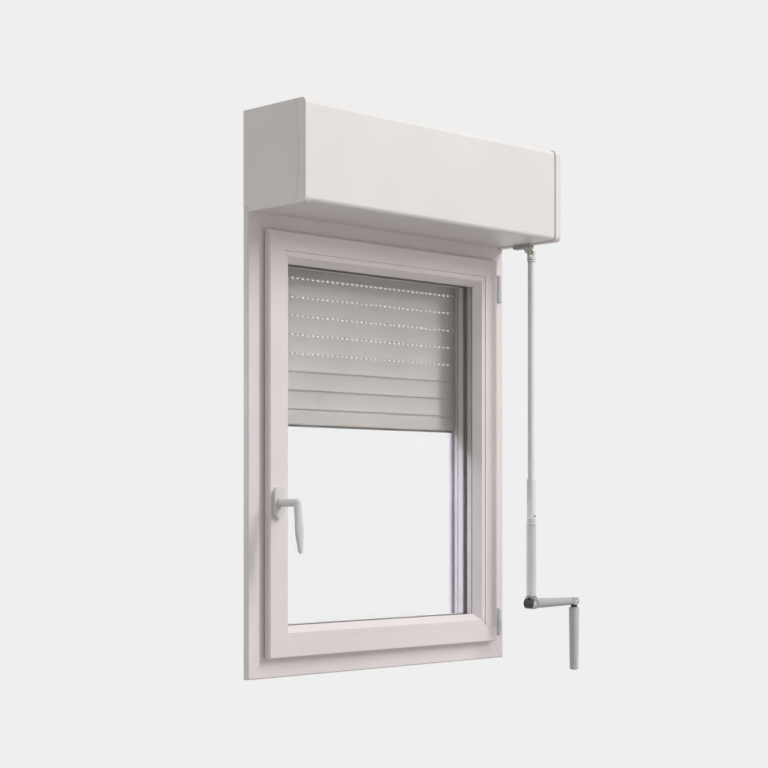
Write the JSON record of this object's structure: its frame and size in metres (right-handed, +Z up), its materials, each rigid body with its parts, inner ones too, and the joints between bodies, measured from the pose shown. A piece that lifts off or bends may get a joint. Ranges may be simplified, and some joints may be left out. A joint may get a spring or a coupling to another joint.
{
  "type": "window with exterior roller shutter",
  "caption": "Flanged window unit with a side-hung glazed sash and a roller shutter: box above, slatted curtain in guides outside the glass, worked by a folding crank.",
  "frame": {"origin": "middle of the seat under the outer sill", "axes": "+X to the right seen from the room, +Y out through the wall, +Z up"},
  "size_m": [0.9585, 0.273, 1.218],
  "materials": {
    "white_pvc": "extruded PVC, satin",
    "box_white": "extruded PVC, satin",
    "guide_white": "extruded PVC, satin",
    "fitting_white": "powder coated",
    "seal_rubber": "matt",
    "brush_pile": "pile",
    "galvanised_steel": "zinc plated",
    "bright_steel": "drawn",
    "foam": "bead foam",
    "black_plastic": "moulded",
    "slat_beige": "extruded, satin",
    "glass": "clear float",
    "spacer_alu": "mill",
    "joint_zinc": "zinc plated",
    "crank_alu": "lacquered",
    "crank_grey": "moulded"
  },
  "bodies": {
    "window_unit": {"frame_head": "white_pvc", "frame_bottom": "white_pvc", "frame_jamb_left": "white_pvc", "frame_jamb_right": "white_pvc", "frame_seal": "seal_rubber", "outer_sill": "white_pvc", "head_adapter": "white_pvc", "guide_left": "guide_white", "guide_right": "guide_white", "guide_brushes": "brush_pile", "box_top": "box_white", "box_outer_panel": "white_pvc", "box_underside": "box_white", "box_front_cover": "box_white", "end_cap_left": "box_white", "end_cap_right": "box_white", "side_plates": "galvanised_steel", "box_insulation": "foam", "idler_bearing": "black_plastic", "winch_housing": "black_plastic", "exit_plate": "black_plastic", "strike_plates": "galvanised_steel", "hinge_frame_leaves": "fitting_white", "hinge_pins": "bright_steel"},
    "curtain": {"bottom_bar": "slat_beige", "bottom_seal": "seal_rubber", "upper_slats": "slat_beige", "slat_1": "slat_beige", "slat_2": "slat_beige", "slat_3": "slat_beige", "slat_4": "slat_beige", "slat_5": "slat_beige", "slat_6": "slat_beige", "slat_7": "slat_beige", "slat_8": "slat_beige"},
    "roller": {"roller_tube": "galvanised_steel", "idler_plug": "black_plastic", "drive_plug": "black_plastic", "wound_slats": "slat_beige"},
    "drive_shaft": {"drive_rod": "bright_steel", "upper_fork": "joint_zinc"},
    "sash": {"sash_rail_top": "white_pvc", "sash_rail_bottom": "white_pvc", "sash_stile_lock": "white_pvc", "sash_stile_hinge": "white_pvc", "glazing_beads": "white_pvc", "glass_panes": "glass", "glass_spacer": "spacer_alu", "glazing_gaskets": "seal_rubber", "hinge_sash_leaves": "fitting_white", "handle_rosette": "fitting_white"},
    "handle": {"handle_lever": "fitting_white"},
    "lock_bar": {"locking_bar": "galvanised_steel"},
    "hand_sleeve": {"crank_sleeve": "crank_grey"},
    "crank": {"crank_rod": "crank_alu", "lower_fork": "joint_zinc", "joint_cross": "joint_zinc"},
    "arm": {"crank_arm": "crank_grey"},
    "grip_joint": {"grip_knuckle": "black_plastic"},
    "grip": {"crank_grip": "crank_grey"}
  },
  "joints": [
    {"name": "crank_swing", "type": "hinge", "parent": "window_unit", "child": "hand_sleeve", "pos_m": [0.388, -0.137, 0.957], "axis": [-1, 0, 0], "range_deg": [0, 30]},
    {"name": "crank_turn", "type": "hinge", "parent": "hand_sleeve", "child": "crank", "pos_m": [0.388, -0.137, 0.957], "axis": [0, 0, 1], "range_deg": [-205, 25]},
    {"name": "arm_fold", "type": "hinge", "parent": "crank", "child": "arm", "pos_m": [0.388, -0.137, 0.133], "axis": [0, 1, 0], "range_deg": [0, 90]},
    {"name": "grip_fold", "type": "hinge", "parent": "arm", "child": "grip_joint", "pos_m": [0.546, -0.137, 0.133], "axis": [0, -1, 0], "range_deg": [0, 90]},
    {"name": "grip_spin", "type": "hinge", "parent": "grip_joint", "child": "grip", "pos_m": [0.546, -0.137, 0.073], "axis": [0, 0, 1], "continuous": true},
    {"name": "drive_turn", "type": "hinge", "parent": "window_unit", "child": "drive_shaft", "pos_m": [0.388, -0.137, 0.957], "axis": [0, 0.7071, 0.7071], "range_deg": [-206, 26]},
    {"name": "roller_turn", "type": "hinge", "parent": "window_unit", "child": "roller", "pos_m": [0, -0.02377, 1.04478], "axis": [1, 0, 0], "range_deg": [-8.83, 68.83]},
    {"name": "curtain_slide", "type": "slide", "parent": "window_unit", "child": "curtain", "axis": [0, 0, 1], "range_m": [-0.0089, 0.0715]},
    {"name": "sash_turn", "type": "hinge", "parent": "window_unit", "child": "sash", "pos_m": [0.367, -0.05, 0.493], "axis": [0, 0, 1], "range_deg": [0, 90]},
    {"name": "handle_turn", "type": "hinge", "parent": "sash", "child": "handle", "pos_m": [-0.3365, -0.058, 0.37], "axis": [0, -1, 0], "range_deg": [0, 90]},
    {"name": "lock_slide", "type": "slide", "parent": "sash", "child": "lock_bar", "axis": [0, 0, 1], "range_m": [0, 0.01805]}
  ],
  "couplings": [
    {"joint": "drive_turn", "follows": "crank_turn", "ratio": 1},
    {"joint": "roller_turn", "follows": "crank_turn", "ratio": -0.33333},
    {"joint": "curtain_slide", "follows": "crank_turn", "m_per_rad": -0.019923},
    {"joint": "lock_slide", "follows": "handle_turn", "m_per_rad": 0.011459}
  ]
}
